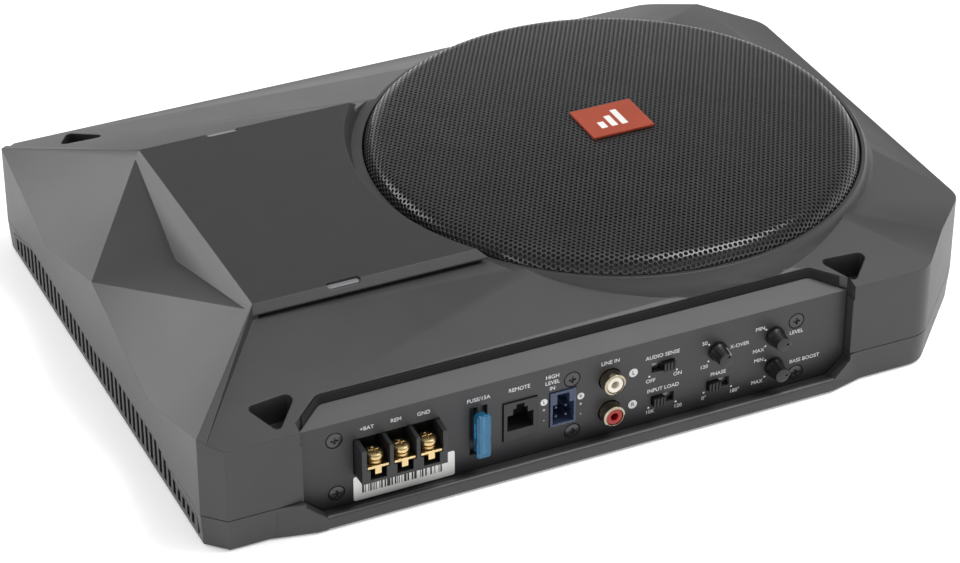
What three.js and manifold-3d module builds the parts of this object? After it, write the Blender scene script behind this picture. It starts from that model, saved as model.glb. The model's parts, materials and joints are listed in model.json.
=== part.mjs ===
// Powered car subwoofer: a flat under-seat enclosure with its own amplifier.
// Units are millimetres. X runs along the control panel, the panel faces -Y, and Z is up.
import * as THREE from "three";
import { ConvexGeometry } from "three/addons/geometries/ConvexGeometry.js";
import Module from "manifold-3d";

const wasm = await Module();
wasm.setup();

// ---- Enclosure ----
const LEFT = -172.5;
const RIGHT = 172.5;
const FRONT = -122;
const BACK = 125;
const SHELL_BOTTOM = 0.8;
const BOTTOM_INSET = 0.9;
const FLOOR_TOP = 3.3;
const WALL = 3;
const SEAM_LOW = 14.4;
const SEAM_HIGH = 14.7;
const GAP = 0.3;
const SMALL_CHAMFER = 8;
const BIG_CHAMFER_X = 38.6;
const BIG_CHAMFER_Y = 41;
const CORNER_ROUND = 12;
const HIGH = 95;

// ---- Sloped top, plateau and faceted end ----
const EDGE_Z = 46;
const SLOPE_FOOT_Y = 66.2;
const SLOPE_FOOT_Z = 61;
const STEP_TOP_Z = 63.3;
const PLATEAU_Y = 63.25;
const PLATEAU_Z = 66.3;
const PLATEAU_X = -129.75;
const PLATEAU_SKIN = 3.4;
const STEP_SLOT_Y = 63.4;
const STEP_SLOT_Z = 62.7;
const END_EDGE_Z = 47;
const END_SLOPE = 0.15;

// ---- Woofer ----
const CX = 54;
const GRILLE_R = 102.7;
const BORE_R = 103.2;
const SEAT_R = 94;
const SEAT_LOW = 40.2;
const SEAT_HIGH = 43.2;
const COLLAR_Z = 59;
const GRILLE_TOP = 68.7;
const GRILLE_FLAT_R = 97;
const DOME_RISE = 4;
const GRILLE_SKIN = 1.2;
const GRILLE_LOW = 47.5;
const TOP = 70;
const ROLL_MIDDLE = 86.3;

// ---- Control panel ----
const PANEL_FRONT = -117;
const PANEL_BACK = -115;
const FRAME_FRONT = -114.7;
const FRAME_BACK = -112.2;
const PANEL_TOP = 42.1;
const PANEL_BOTTOM = 4;
const LIP_FRONT = -125;
const LIP_BACK = -121.8;
const LIP_END_Y = -120.9;
const LIP_TOP = 6.3;
const LEDGE_BACK_Y = -107.7;
const LEDGE_BACK_Z = 46.1;
const LEDGE_ROUND = 4.5;
const SEAL_OUT = 0.5;
const SEAL_IN = 0;
const ROOF = 1.8;

const PANEL_LEFT = -134;
const PANEL_RIGHT = 99.5;
const LEDGE_UNDER = 38.2;
const BOSS_R = 3.4;
const BOSS_BACK = -107;
const SCREW_HOLE_R = 1.8;
const HEAD_R = 3.2;
const TOP_SCREWS = [[-119.6, 34.6], [-21, 33.9], [77.2, 33.5]];
const LOW_SCREWS = [[-119.2, 10.2], [-20.6, 9.6], [78, 8.8]];
const PANEL_SCREWS = [...TOP_SCREWS, ...LOW_SCREWS];

// Rotary controls: name, x, z and where the pointer rests, in degrees above +X.
const KNOBS = [["crossover", 42.2, 29.3, 55], ["level", 67.6, 29.3, 0], ["bass_boost", 67.9, 14.7, 0]];
const BUSHING_R = 3.2;

// Slide switches: name, the slot's two ends, its height, and where the slider rests.
const SWITCHES = [
  ["audio_sense", 13.3, 23.3, 29.1, 20.4],
  ["input_load", 13.5, 23.5, 13.6, 16.4],
  ["phase", 37.9, 47.9, 13.7, 40.8],
];
const SLOT_HEIGHT = 4.4;
const INPUT_JACKS = [["left", -4.7, 29.4, "#efe8d8"], ["right", -4.7, 14.5, "#a3201c"]];
const JACK_R = 4.6;
const TERMINALS = [-105.1, -94.2, -83.3];
const BLOCK = { x0: -111.8, x1: -76.8, front: -124.8, z0: 16.9, z1: 32.4 };
const CELL = 4.7;
const PLATE_Z = 22.8;
const STUD_Y = -120.4;
const FUSE = { x0: -63.4, x1: -57.6, z0: 12.2, z1: 31.8, front: -122.8 };
const REMOTE = { x0: -50.2, x1: -36, z0: 13.5, z1: 30.8 };
const LINE = { x0: -30.4, x1: -19.4, z0: 14.3, z1: 30 };

// ---- Fittings ----
const POCKET_FLOOR = 39;
const FOOT_R = 8;
const FOOT_TOP = 1.8;
const FEET = [[-152, -98], [-152, 101], [140, -88], [140, 91]];
const BOARD_LOW = 5.5;
const BOARD_TOP = 7.1;
const BOARD_POSTS = [[-128, -98], [76, -98], [-155, 75], [-32, 75]];
const VENT_END = 109.8;
const VENT_LOW = 3.5;
const VENT_SLOTS = 43;
const VENT_PITCH = 5;
const VENT_SLOT = 2.8;
const WINDOW_X = -92.5;
const WINDOW_Y = 62.8;
const WINDOW_LENGTH = 13.5;
const WINDOW_WIDTH = 2.8;
const WINDOW_LOW = 63.9;
const WINDOW_TOP = 65.2;

const steel = { roughness: 0.35, metalness: 0.9 };
const plastic = { roughness: 0.65, metalness: 0 };
const brass = { roughness: 0.3, metalness: 1 };

// ---- Building blocks ----

// A closed body from any three.js geometry: equal corners joined, faces turned outward.
function solid(geometry) {
  const flat = geometry.index ? geometry.toNonIndexed() : geometry;
  const position = flat.getAttribute("position");
  const seen = new Map();
  const corners = [];
  const faces = [];
  const cornerOf = (i) => {
    const xyz = [position.getX(i), position.getY(i), position.getZ(i)];
    const key = xyz.map((value) => Math.round(value * 1e4)).join(",");
    if (!seen.has(key)) {
      seen.set(key, corners.length / 3);
      corners.push(...xyz);
    }
    return seen.get(key);
  };
  for (let i = 0; i < position.count; i += 3) {
    const [a, b, c] = [cornerOf(i), cornerOf(i + 1), cornerOf(i + 2)];
    if (a !== b && b !== c && a !== c) faces.push(a, b, c);
  }
  return bodyOf(corners, faces);
}

function bodyOf(corners, faces) {
  let volume = 0;
  const at = (i) => new THREE.Vector3(corners[3 * i], corners[3 * i + 1], corners[3 * i + 2]);
  for (let i = 0; i < faces.length; i += 3) {
    volume += at(faces[i]).dot(at(faces[i + 1]).cross(at(faces[i + 2])));
  }
  const triangles = volume < 0 ? faces.reverse() : faces;
  const mesh = new wasm.Mesh({
    numProp: 3,
    vertProperties: new Float32Array(corners),
    triVerts: new Uint32Array(triangles),
  });
  return new wasm.Manifold(mesh);
}

// An outline whose corners are [a, b] or, rounded, [a, b, radius]; listed counter-clockwise.
function outline(corners) {
  const shape = new THREE.Shape();
  corners.forEach(([a, b, radius = 0], i) => {
    const here = new THREE.Vector2(a, b);
    const previous = corners[(i + corners.length - 1) % corners.length];
    const next = corners[(i + 1) % corners.length];
    const toPrevious = new THREE.Vector2(previous[0] - a, previous[1] - b).normalize();
    const toNext = new THREE.Vector2(next[0] - a, next[1] - b).normalize();
    const half = Math.acos(toPrevious.dot(toNext)) / 2;
    const start = here.clone().addScaledVector(toPrevious, radius / Math.tan(half));
    if (i === 0) shape.moveTo(start.x, start.y);
    else shape.lineTo(start.x, start.y);
    if (radius === 0) return;
    const end = here.clone().addScaledVector(toNext, radius / Math.tan(half));
    const inward = toPrevious.clone().add(toNext).normalize();
    const centre = here.clone().addScaledVector(inward, radius / Math.sin(half));
    const clockwise = toPrevious.cross(toNext) > 0;
    const from = Math.atan2(start.y - centre.y, start.x - centre.x);
    const to = Math.atan2(end.y - centre.y, end.x - centre.x);
    shape.absarc(centre.x, centre.y, radius, from, to, clockwise);
  });
  return shape;
}

function extruded(shape, from, to, curveSegments) {
  const geometry = new THREE.ExtrudeGeometry(shape, { depth: to - from, bevelEnabled: false, curveSegments });
  return geometry.translate(0, 0, from);
}

// A prism standing along Z, from corners in X and Y.
function prismZ(corners, from, to, curveSegments = 2) {
  return solid(extruded(outline(corners), from, to, curveSegments));
}

// A prism lying along X, from corners in Y and Z.
function prismX(corners, from, to, curveSegments = 2) {
  const geometry = extruded(outline(corners), from, to, curveSegments);
  const axes = new THREE.Matrix4().makeBasis(
    new THREE.Vector3(0, 1, 0), new THREE.Vector3(0, 0, 1), new THREE.Vector3(1, 0, 0));
  return solid(geometry.applyMatrix4(axes));
}

// A prism lying along Y, from corners in X and Z.
function prismY(corners, from, to, curveSegments = 2) {
  const geometry = extruded(outline(corners), from, to, curveSegments);
  const axes = new THREE.Matrix4().makeBasis(
    new THREE.Vector3(1, 0, 0), new THREE.Vector3(0, 0, 1), new THREE.Vector3(0, 1, 0));
  return solid(geometry.applyMatrix4(axes));
}

function box(x0, x1, y0, y1, z0, z1) {
  const geometry = new THREE.BoxGeometry(x1 - x0, y1 - y0, z1 - z0);
  return solid(geometry.translate((x0 + x1) / 2, (y0 + y1) / 2, (z0 + z1) / 2));
}

// A turned body about a vertical axis at (x, y), from [radius, z] points.
function turnedZ(x, y, profile, segments = 40) {
  const points = profile.map(([radius, z]) => new THREE.Vector2(radius, z));
  const geometry = new THREE.LatheGeometry(points, segments).rotateX(Math.PI / 2);
  return solid(geometry.translate(x, y, 0));
}

// A turned body about an axis along Y at (x, z), from [radius, y] points.
function turnedY(x, z, profile, segments = 24) {
  const points = profile.map(([radius, y]) => new THREE.Vector2(radius, y));
  return solid(new THREE.LatheGeometry(points, segments).translate(x, 0, z));
}

function postZ(x, y, radius, z0, z1, segments = 24) {
  return turnedZ(x, y, [[0, z0], [radius, z0], [radius, z1], [0, z1]], segments);
}

function postY(x, z, radius, y0, y1, segments = 24) {
  return turnedY(x, z, [[0, y0], [radius, y0], [radius, y1], [0, y1]], segments);
}

function ringZ(x, y, inner, outer, z0, z1, segments = 40) {
  return turnedZ(x, y, [[inner, z0], [outer, z0], [outer, z1], [inner, z1], [inner, z0]], segments);
}

const union = (parts) => parts.reduce((sum, part) => sum.add(part));

const group = new THREE.Group();

function piece(name, body, color, finish) {
  const mesh = body.getMesh();
  const geometry = new THREE.BufferGeometry();
  geometry.setAttribute("position", new THREE.BufferAttribute(new Float32Array(mesh.vertProperties), 3));
  geometry.setIndex(new THREE.BufferAttribute(new Uint32Array(mesh.triVerts), 1));
  geometry.computeVertexNormals();
  const node = new THREE.Mesh(geometry, new THREE.MeshStandardMaterial({ color, ...finish }));
  node.name = name;
  group.add(node);
}

// ---- Plan of the enclosure ----

// The outside plan, drawn in by a margin on every side.
function planCorners(margin) {
  const cut = margin * 0.41;
  const small = SMALL_CHAMFER - cut;
  const bigX = BIG_CHAMFER_X - cut;
  const bigY = BIG_CHAMFER_Y - cut;
  const [left, right, front, back] = [LEFT + margin, RIGHT - margin, FRONT + margin, BACK - margin];
  return [
    [left + small, front], [right - bigX, front, CORNER_ROUND],
    [right, front + bigY, CORNER_ROUND], [right, back - bigY, CORNER_ROUND],
    [right - bigX, back, CORNER_ROUND], [left + small, back],
    [left, back - small], [left, front + small],
  ];
}

// The convex body between two plans at two heights: the lower shell's slight taper.
function tapered(lowMargin, zLow, highMargin, zHigh) {
  const ring = (margin, z) => outline(planCorners(margin)).getPoints(2)
    .map(({ x, y }) => new THREE.Vector3(x, y, z));
  return solid(new ConvexGeometry([...ring(lowMargin, zLow), ...ring(highMargin, zHigh)]));
}

// The panel's outline in X and Z, grown by a margin (or shrunk by a negative one).
function panelCorners(margin) {
  const slant = margin * 0.4;
  const [left, right] = [PANEL_LEFT - margin, PANEL_RIGHT + margin];
  const [low, high] = [PANEL_BOTTOM - margin, PANEL_TOP + margin];
  return [
    [left, high], [left, 12.5 - slant], [-124.5 - slant, low],
    [92 + slant, low], [right, 11.5 - slant], [right, high],
  ];
}

// The sloping ledge over the panel, seen from above and grown by a margin; its back corners are round.
function ledgeCorners(margin, front) {
  const [left, right] = [PANEL_LEFT - margin, PANEL_RIGHT + margin];
  const slant = margin * 0.6;
  return [
    [left, front], [right, front], [right, PANEL_FRONT], [87 + slant, LEDGE_BACK_Y + margin, LEDGE_ROUND],
    [-122 - slant, LEDGE_BACK_Y + margin, LEDGE_ROUND], [left, PANEL_FRONT],
  ];
}

// Everything above the ledge's surface, lowered by a distance.
function aboveLedge(drop) {
  const rise = (LEDGE_BACK_Z - PANEL_TOP) / (LEDGE_BACK_Y - PANEL_FRONT);
  const beyond = 3;
  return prismX([[FRONT - 14, PANEL_TOP - drop], [PANEL_FRONT, PANEL_TOP - drop],
    [LEDGE_BACK_Y + beyond, LEDGE_BACK_Z + rise * beyond - drop], [LEDGE_BACK_Y + beyond, HIGH],
    [FRONT - 14, HIGH]], PANEL_LEFT - 16, PANEL_RIGHT + 16);
}

// The vented window in the side, in Y and Z.
function ventCorners(margin) {
  return [
    [-VENT_END - margin, VENT_LOW - margin], [VENT_END + margin, VENT_LOW - margin],
    [VENT_END + margin, 10.9 + margin], [84, 19 + margin], [5, 15.6 + margin],
    [-14, 19 + margin], [-68, 18.4 + margin], [-90, 11.6 + margin],
    [-VENT_END - margin, 11.2 + margin],
  ];
}

// Strap pockets: one triangle at each front corner and the same mirrored at the back.
const FRONT_POCKETS = [
  [[-150, -104.6, 2], [-142, -119.4, 2], [-127.8, -102.6, 2.6]],
  [[92, -104.6, 2], [101.7, -119.3, 2], [115, -106.2, 2.4]],
];
const BACK_SHIFT = BACK + FRONT;
const BACK_POCKETS = FRONT_POCKETS.map((corners) => (
  corners.map(([x, y, radius]) => [x, BACK_SHIFT - y, radius]).reverse()));
const POCKETS = [...FRONT_POCKETS, ...BACK_POCKETS];

// The same triangle pushed outward from its middle, for the walls around a pocket.
function grown(corners, distance) {
  const middle = [0, 1].map((axis) => corners.reduce((sum, corner) => sum + corner[axis] / 3, 0));
  return corners.map(([x, y]) => {
    const away = new THREE.Vector2(x - middle[0], y - middle[1]);
    away.setLength(away.length() + distance);
    return [middle[0] + away.x, middle[1] + away.y];
  });
}

// ---- Top shell ----

// The faceted end: flat faces fall to the vented side around a sunk pit, and a ridge runs
// from each plateau corner to each front and back corner. Each face is the top of a column.
function facetedEnd(drop, inset, low) {
  const left = LEFT + inset;
  const front = FRONT + SMALL_CHAMFER + inset;
  const back = BACK - SMALL_CHAMFER - inset;
  const corner = {
    plateauBack: [PLATEAU_X, PLATEAU_Y, PLATEAU_Z],
    plateauFront: [PLATEAU_X, -PLATEAU_Y, PLATEAU_Z],
    pitBack: [-132.2, 61.2, 63.6],
    pitFront: [-132.2, -61.2, 63.6],
    stepBack: [-131, SLOPE_FOOT_Y, STEP_TOP_Z],
    stepFront: [-131, -SLOPE_FOOT_Y, STEP_TOP_Z],
    ridgeBack: [left, back, 48.8],
    ridgeFront: [left, front, 48.8],
    outerBack: [left + 2.8, back + 2.8, 48],
    outerFront: [left + 2.8, front - 2.8, 48],
    valleyBack: [left, 60, 32.2],
    valleyFront: [left, -60, 32.2],
    peak: [left, 2, 49.6],
    pit: [-137.5, 1, 51],
  };
  const faces = [
    ["plateauBack", "pitBack", "pitFront"], ["plateauBack", "pitFront", "plateauFront"],
    ["plateauFront", "pitFront", "ridgeFront"], ["plateauFront", "ridgeFront", "outerFront"],
    ["plateauFront", "outerFront", "stepFront"], ["plateauBack", "ridgeBack", "pitBack"],
    ["plateauBack", "outerBack", "ridgeBack"], ["plateauBack", "stepBack", "outerBack"],
    ["pitBack", "pit", "pitFront"], ["pitBack", "peak", "pit"], ["pitFront", "pit", "peak"],
    ["pitBack", "ridgeBack", "valleyBack"], ["pitBack", "valleyBack", "peak"],
    ["pitFront", "peak", "valleyFront"], ["pitFront", "valleyFront", "ridgeFront"],
  ];
  return union(faces.map((names) => solid(new ConvexGeometry(names.flatMap((name) => {
    const [x, y, z] = corner[name];
    return [new THREE.Vector3(x, y, z - drop), new THREE.Vector3(x, y, low)];
  })))));
}

// Everything right of the faceted end, under the front, back and end slopes.
function slopedBody(margin, skin, low) {
  const slope = (SLOPE_FOOT_Z - EDGE_Z) / (-SLOPE_FOOT_Y - FRONT);
  const backEdge = SLOPE_FOOT_Z - skin - slope * (BACK - SLOPE_FOOT_Y);
  const side = skin === 0 ? 0 : 5.5;
  const profile = [
    [FRONT, low], [BACK, low], [BACK, backEdge], [SLOPE_FOOT_Y - side, SLOPE_FOOT_Z - skin],
    [SLOPE_FOOT_Y - side, STEP_TOP_Z - skin], [PLATEAU_Y - side, PLATEAU_Z - skin],
    [side - PLATEAU_Y, PLATEAU_Z - skin], [side - SLOPE_FOOT_Y, STEP_TOP_Z - skin],
    [side - SLOPE_FOOT_Y, SLOPE_FOOT_Z - skin], [FRONT, EDGE_Z - skin],
  ];
  const endZ = END_EDGE_Z - skin;
  const beyond = 40;
  const overEnd = prismY([
    [LEFT, endZ + END_SLOPE * (RIGHT - LEFT)], [RIGHT + beyond, endZ - END_SLOPE * beyond],
    [RIGHT + beyond, HIGH + beyond], [LEFT, HIGH + beyond],
  ], 2 * FRONT, 2 * BACK);
  const overFacets = prismZ([
    [-176.5, -123.6], [-131.2, -64.8], [PLATEAU_X, -63], [PLATEAU_X, 63],
    [-131.2, 64.8], [-176.5, 126.9], [-260, 126.9], [-260, -123.6],
  ], low - 1, HIGH);
  return prismZ(planCorners(margin), low, HIGH)
    .intersect(prismX(profile, LEFT, RIGHT))
    .subtract(overEnd)
    .subtract(overFacets);
}

function topShell() {
  const aboveCollar = turnedZ(CX, 0, [[0, COLLAR_Z], [107.6, COLLAR_Z], [110.5, PLATEAU_Z],
    [110.5, HIGH], [0, HIGH]], 96);
  const collar = turnedZ(CX, 0, [[0, 40], [115, 40], [115, 46.9], [112.4, 47.7], [110.3, 48.8],
    [108.4, 50.4], [107, 52.4], [106, 55], [105.4, COLLAR_Z - 0.9], [104.7, COLLAR_Z], [0, COLLAR_Z]], 96);
  const outer = slopedBody(0, 0, SEAM_HIGH)
    .subtract(aboveCollar)
    .add(collar)
    .add(facetedEnd(0, 0, SEAM_HIGH));

  // Around the speaker opening the cavity stops short of the collar and the seat.
  const speakerWall = turnedZ(CX, 0, [[0, SEAT_LOW], [106.2, SEAT_LOW], [106.2, 55.5],
    [113.7, PLATEAU_Z - PLATEAU_SKIN], [113.7, HIGH], [0, HIGH]], 64);
  const wallBack = LEDGE_BACK_Y + WALL + 1;
  const ledgeWall = prismX([[-131, LEDGE_UNDER], [FRAME_FRONT, LEDGE_UNDER],
    [wallBack, LEDGE_UNDER + 2.5], [wallBack, HIGH], [-131, HIGH]],
    PANEL_LEFT - 3.6, PANEL_RIGHT + 3.6);
  const belowSeam = SEAM_HIGH - 1;
  let cavity = slopedBody(WALL, PLATEAU_SKIN, belowSeam)
    .add(facetedEnd(5, WALL, belowSeam))
    .subtract(speakerWall)
    .subtract(ledgeWall)
    .subtract(box(PANEL_LEFT - 3.6, PANEL_RIGHT + 3.6, -131, FRAME_BACK, 0, HIGH))
    .add(prismY(panelCorners(-3.5), FRAME_FRONT - 1, FRAME_BACK + 1));
  for (const corners of POCKETS) {
    cavity = cavity.subtract(prismZ(grown(corners, 5), POCKET_FLOOR - 2.2, HIGH));
  }

  const opening = turnedZ(CX, 0, [[0, 35], [SEAT_R, 35], [SEAT_R, SEAT_HIGH],
    [BORE_R, SEAT_HIGH], [BORE_R, HIGH], [0, HIGH]], 96);
  const overPanel = prismZ(ledgeCorners(SEAL_OUT + GAP, -135), LEDGE_UNDER, HIGH, 4)
    .intersect(aboveLedge(ROOF + GAP));
  const stepSlot = box(PLATEAU_X + 1, RIGHT, -SLOPE_FOOT_Y - 1, -STEP_SLOT_Y, SLOPE_FOOT_Z, STEP_SLOT_Z)
    .add(box(PLATEAU_X + 1, RIGHT, STEP_SLOT_Y, SLOPE_FOOT_Y + 1, SLOPE_FOOT_Z, STEP_SLOT_Z))
    .subtract(postZ(CX, 0, 107.5, SLOPE_FOOT_Z - 1, STEP_TOP_Z, 96));
  let shell = outer.subtract(cavity)
    .subtract(opening)
    .subtract(overPanel)
    .subtract(stepSlot)
    .subtract(prismY(panelCorners(GAP), -136, FRAME_FRONT))
    .subtract(prismX(ventCorners(GAP), LEFT - 5, LEFT + 5));
  for (const corners of POCKETS) shell = shell.subtract(prismZ(corners, POCKET_FLOOR, HIGH));
  for (const sign of [-1, 1]) {
    shell = shell.subtract(prismZ(windowCorners(sign, GAP), WINDOW_LOW - GAP, HIGH));
  }
  for (const [x, z] of TOP_SCREWS) {
    const boss = postY(x, z, BOSS_R, FRAME_FRONT, BOSS_BACK, 16)
      .add(box(x - 1.5, x + 1.5, FRAME_FRONT, BOSS_BACK, z, LEDGE_UNDER + 1));
    shell = shell.add(boss).subtract(postY(x, z, SCREW_HOLE_R, -116, BOSS_BACK + 1, 12));
  }
  return shell;
}

// ---- Bottom shell ----

function bottomShell() {
  const lipProfile = [[LIP_BACK, SHELL_BOTTOM], [LIP_BACK, LIP_TOP, 1], [LIP_FRONT, LIP_TOP, 1.4],
    [LIP_FRONT, SHELL_BOTTOM, 0.6]];
  const lipLeft = [[-149, SHELL_BOTTOM], [-126, SHELL_BOTTOM], [-126, LIP_TOP], [PANEL_LEFT - GAP, 13],
    [PANEL_LEFT - GAP, SEAM_LOW], [-149, SEAM_LOW]];
  const lipRight = [[92, SHELL_BOTTOM], [107, SHELL_BOTTOM], [107, SEAM_LOW],
    [PANEL_RIGHT + GAP, SEAM_LOW], [PANEL_RIGHT + GAP, 12], [92, LIP_TOP]];
  const lip = prismX(lipProfile, -126, 92, 3)
    .add(prismY(lipLeft, LIP_FRONT, LIP_END_Y))
    .add(prismY(lipRight, LIP_FRONT, LIP_END_Y))
    .intersect(prismZ([[-130, LIP_FRONT], [90, LIP_FRONT], [107, LIP_END_Y], [-149, LIP_END_Y]], 0, 20))
    .add(box(-145, PANEL_LEFT - GAP, LIP_BACK - 0.1, FRONT + WALL, SHELL_BOTTOM + 1, SEAM_LOW))
    .add(box(PANEL_RIGHT + GAP, 103, LIP_BACK - 0.1, FRONT + WALL, SHELL_BOTTOM + 1, SEAM_LOW));
  const cavity = tapered(WALL + BOTTOM_INSET, FLOOR_TOP, WALL, SEAM_LOW + 5)
    .subtract(box(PANEL_LEFT - 3.6, PANEL_RIGHT + 3.6, -131, FRAME_BACK, 0, HIGH))
    .add(prismY(panelCorners(-3.5), FRAME_FRONT - 1, FRAME_BACK + 1)
      .intersect(box(LEFT, RIGHT, -131, 0, 0, SEAM_LOW + 5)));
  let shell = tapered(BOTTOM_INSET, SHELL_BOTTOM, 0, SEAM_LOW)
    .subtract(cavity)
    .subtract(prismY(panelCorners(GAP), -136, FRAME_FRONT))
    .subtract(prismX(ventCorners(GAP), LEFT - 5, LEFT + 6))
    .add(lip.add(box(-126, 92, LIP_BACK - 0.5, FRONT + 8, SHELL_BOTTOM, FLOOR_TOP)));
  for (const [x, z] of LOW_SCREWS) {
    const boss = postY(x, z, BOSS_R, FRAME_FRONT, BOSS_BACK, 16)
      .add(box(x - 2, x + 2, FRAME_FRONT, BOSS_BACK, FLOOR_TOP - 1, z));
    shell = shell.add(boss).subtract(postY(x, z, SCREW_HOLE_R, -116, BOSS_BACK + 1, 12));
  }
  for (const [x, y] of BOARD_POSTS) shell = shell.add(postZ(x, y, 3, FLOOR_TOP - 1, BOARD_LOW - GAP, 12));
  for (const [x, y] of FEET) shell = shell.subtract(postZ(x, y, FOOT_R + GAP, 0, FOOT_TOP + GAP, 24));
  return shell;
}

piece("top_shell", topShell(), "#47474a", plastic);
piece("bottom_shell", bottomShell(), "#454548", plastic);

FEET.forEach(([x, y], i) => {
  const foot = turnedZ(x, y, [[0, 0], [FOOT_R - 0.8, 0], [FOOT_R, 0.8], [FOOT_R, FOOT_TOP], [0, FOOT_TOP]], 24);
  piece(`rubber_foot_${i + 1}`, foot, "#1b1b1c", { roughness: 0.9, metalness: 0 });
});

// A lens filling its slot in the plateau's edge.
function windowCorners(sign, margin) {
  const x = sign < 0 ? WINDOW_X : WINDOW_X - 1.3;
  const [halfLength, halfWidth] = [WINDOW_LENGTH / 2 + margin, WINDOW_WIDTH / 2 + margin];
  const y = sign * WINDOW_Y;
  const radius = halfWidth - 0.05;
  return [
    [x - halfLength, y - halfWidth, radius], [x + halfLength, y - halfWidth, radius],
    [x + halfLength, y + halfWidth, radius], [x - halfLength, y + halfWidth, radius],
  ];
}
[["front", -1], ["back", 1]].forEach(([side, sign]) => {
  piece(`status_window_${side}`, prismZ(windowCorners(sign, 0), WINDOW_LOW, WINDOW_TOP, 3),
    "#8f9092", { roughness: 0.3, metalness: 0 });
});

// ---- Side vent grille ----
function ventGrille() {
  const plate = prismX(ventCorners(0), LEFT + 0.2, LEFT + 2.8);
  const heights = ventCorners(0).slice(2);
  const topAt = (y) => {
    const i = heights.findIndex(([edge], at) => at + 1 < heights.length && y <= edge && y >= heights[at + 1][0]);
    const [[y0, z0], [y1, z1]] = [heights[i], heights[i + 1]];
    return z0 + (z1 - z0) * (y - y0) / (y1 - y0);
  };
  const slots = [];
  for (let i = 0; i < VENT_SLOTS; i += 1) {
    const y = (i - (VENT_SLOTS - 1) / 2) * VENT_PITCH;
    const top = Math.min(topAt(y - VENT_SLOT / 2), topAt(y + VENT_SLOT / 2)) - 1.4;
    slots.push(box(LEFT - 1, LEFT + 4, y - VENT_SLOT / 2, y + VENT_SLOT / 2, VENT_LOW + 1.4, top));
  }
  return plate.subtract(union(slots));
}
piece("side_vent_grille", ventGrille(), "#2b2b2d", plastic);

// ---- Speaker grille and badge ----
const DOME_R = (GRILLE_FLAT_R ** 2 + DOME_RISE ** 2) / (2 * DOME_RISE);
const domeZ = (radius) => GRILLE_TOP - (DOME_R - Math.sqrt(DOME_R ** 2 - radius ** 2));
const outerGrille = [0, 24, 48, 72, GRILLE_FLAT_R].map((radius) => [radius, domeZ(radius)])
  .concat([[99, 63.6], [101, 62.1], [102.2, 60], [GRILLE_R, 57], [GRILLE_R, GRILLE_LOW]]);
const innerGrille = [[GRILLE_R - GRILLE_SKIN, GRILLE_LOW], [GRILLE_R - GRILLE_SKIN, 57],
  [101, 59.6], [100, 61.4], [98.4, 62.5]]
  .concat([GRILLE_FLAT_R, 72, 48, 24, 0].map((radius) => [radius, domeZ(radius) - GRILLE_SKIN]));
piece("speaker_grille", turnedZ(CX, 0, [...outerGrille, ...innerGrille], 64), "#1c1c1d", steel);
piece("grille_badge", box(CX - 13.75, CX + 13.75, -11.5, 11.5, GRILLE_TOP + GAP, TOP), "#c8401f",
  { roughness: 0.4, metalness: 0.4 });

// ---- Woofer ----
function basket() {
  const frame = turnedZ(CX, 0, [[17.6, 24], [45, 24], [47.5, 27], [56, 27], [72, 31], [88.5, 42.5],
    [90, SEAT_HIGH + GAP], [102.4, SEAT_HIGH + GAP], [102.4, 46], [87, 46], [86.5, 43], [70.5, 33],
    [54.5, 29], [46.5, 29], [43.5, 25.8], [17.6, 25.8], [17.6, 24]]);
  const windows = [0, 1, 2, 3, 4, 5].map((i) => (
    box(59, 83, -17, 17, 20, 60).rotate([0, 0, 60 * i]).translate([CX, 0, 0])));
  return frame.subtract(union(windows));
}
piece("woofer_basket", basket(), "#2a2a2c", steel);
piece("magnet_yoke", turnedZ(CX, 0, [[0, 4.5], [37, 4.5], [38, 5.5], [38, 9], [15, 9], [15, 24], [0, 24]]),
  "#8b8f93", steel);
piece("magnet", ringZ(CX, 0, 19.5, 39, 9.3, 19), "#3a3a3c", { roughness: 0.8, metalness: 0 });
piece("magnet_top_plate", ringZ(CX, 0, 16.7, 36, 19.3, 23.7), "#8b8f93", steel);
piece("voice_coil", ringZ(CX, 0, 15.4, 16.3, 14, 34.5), "#b0662e", steel);
piece("woofer_cone", turnedZ(CX, 0, [[16.8, 33], [79, 45.2], [79, 46.8], [16.8, 34.8], [16.8, 33]]),
  "#202022", { roughness: 0.8, metalness: 0 });
const capOuter = [24, 18, 12, 6, 0].map((radius) => [radius, 42.4 - 5 * (radius / 24) ** 2]);
const capInner = [0, 6, 12, 18, 24].map((radius) => [radius, 41.6 - 5 * (radius / 24) ** 2]);
piece("dust_cap", turnedZ(CX, 0, [...capOuter, ...capInner, capOuter[0]]), "#1d1d1f",
  { roughness: 0.6, metalness: 0 });

// A half-round roll between two flat bands, thin all over.
function surround() {
  const arc = (radius) => [0, 1, 2, 3, 4, 5, 6].map((i) => {
    const turn = Math.PI * (1 - i / 6);
    return [ROLL_MIDDLE + radius * Math.cos(turn), 47.3 + radius * Math.sin(turn)];
  });
  const top = [[76.5, 48], [80, 48], ...arc(6.2), [93, 47.2], [100.5, 47.2]];
  const under = [[100.5, 46.4], [91.5, 46.4], ...arc(5.4).reverse(), [81.2, 47.2], [76.5, 47.2]];
  return turnedZ(CX, 0, [...top, ...under, top[0]]);
}
piece("woofer_surround", surround(), "#151516", { roughness: 0.9, metalness: 0 });

// A corrugated disc holding the coil centred.
function spider() {
  const wave = (offset) => [0, 1, 2, 3, 4, 5, 6].map((i) => (
    [20 + 4.3 * i, 30 + (i % 2 ? 0.7 : -0.7) + offset]));
  const top = [[16.7, 30.8], ...wave(0.8), [53.5, 30.1]];
  const under = [[53.5, 29.3], ...wave(0).reverse(), [16.7, 30]];
  return turnedZ(CX, 0, [...top, ...under, top[0]], 32);
}
piece("spider", spider(), "#b59a54", { roughness: 0.9, metalness: 0 });

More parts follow.
